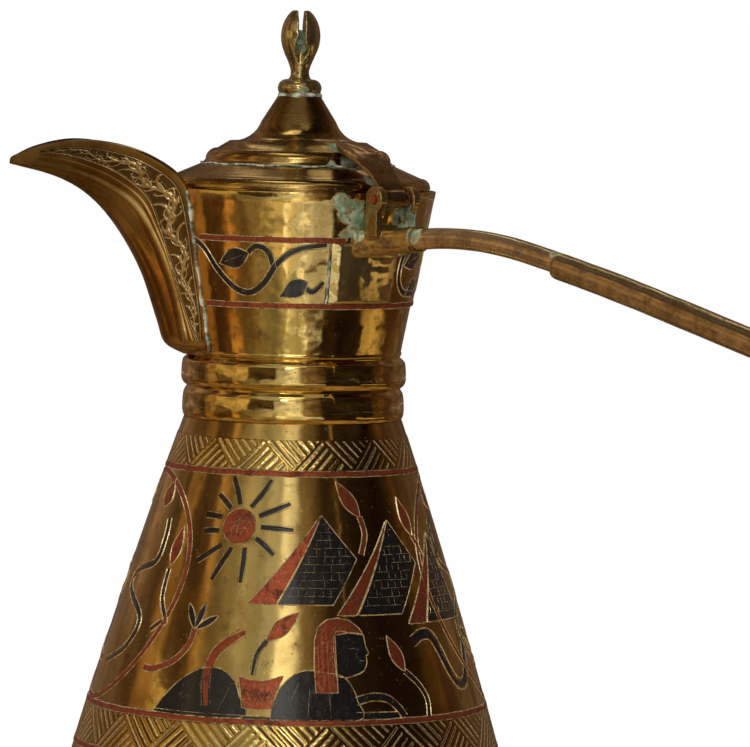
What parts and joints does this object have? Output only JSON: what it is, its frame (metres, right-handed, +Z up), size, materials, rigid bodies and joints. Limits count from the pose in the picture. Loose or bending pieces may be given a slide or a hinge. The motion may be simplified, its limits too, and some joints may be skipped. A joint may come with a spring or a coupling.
{
  "type": "dallah coffee pot",
  "caption": "Inlaid brass coffee pot with a conical belly, ribbed waist, flared neck, open beak spout, long side handle and a hinged lid with a forked finial.",
  "frame": {"origin": "centre of the foot ring's resting face, on the pot's axis", "axes": "+Z up along the pot's axis, -X along the spout, the handle towards -Y and a little +X"},
  "size_m": [0.1674, 0.2491, 0.2412],
  "materials": {
    "polished_brass": "polished and lightly tarnished",
    "aged_brass": "brown patina with worn edges",
    "copper_inlay": "hammered copper, dull",
    "black_inlay": "black filling, satin"
  },
  "bodies": {
    "pot": {"belly_shell": "polished_brass", "waist_collar": "polished_brass", "neck_shell": "polished_brass", "bottom_bowl": "polished_brass", "foot_ring": "polished_brass", "handle_plate": "polished_brass", "spout": "aged_brass", "handle_bracket": "aged_brass", "handle_rod": "aged_brass", "handle_sleeve": "aged_brass", "handle_end_cap": "aged_brass", "hinge_pin": "copper_inlay", "neck_line_upper": "copper_inlay", "neck_line_lower": "copper_inlay", "shoulder_line": "copper_inlay", "belly_line_upper": "copper_inlay", "belly_line_lower": "copper_inlay", "sun_disc": "copper_inlay", "pyramid_bright_faces": "copper_inlay", "medallion_frame": "copper_inlay", "lotus_buds": "copper_inlay", "sun_rays": "black_inlay", "pyramid_shade_faces": "black_inlay", "lotus_stems": "black_inlay"},
    "lid": {"lid_brim": "aged_brass", "lid_dome": "aged_brass", "lid_skirt": "aged_brass", "finial": "aged_brass", "hinge_strap": "aged_brass"}
  },
  "joints": [
    {"name": "lid_hinge", "type": "hinge", "parent": "pot", "child": "lid", "pos_m": [0.01775, -0.03807, 0.1917], "axis": [0.9063, 0.4226, 0], "range_deg": [0, 105]}
  ]
}
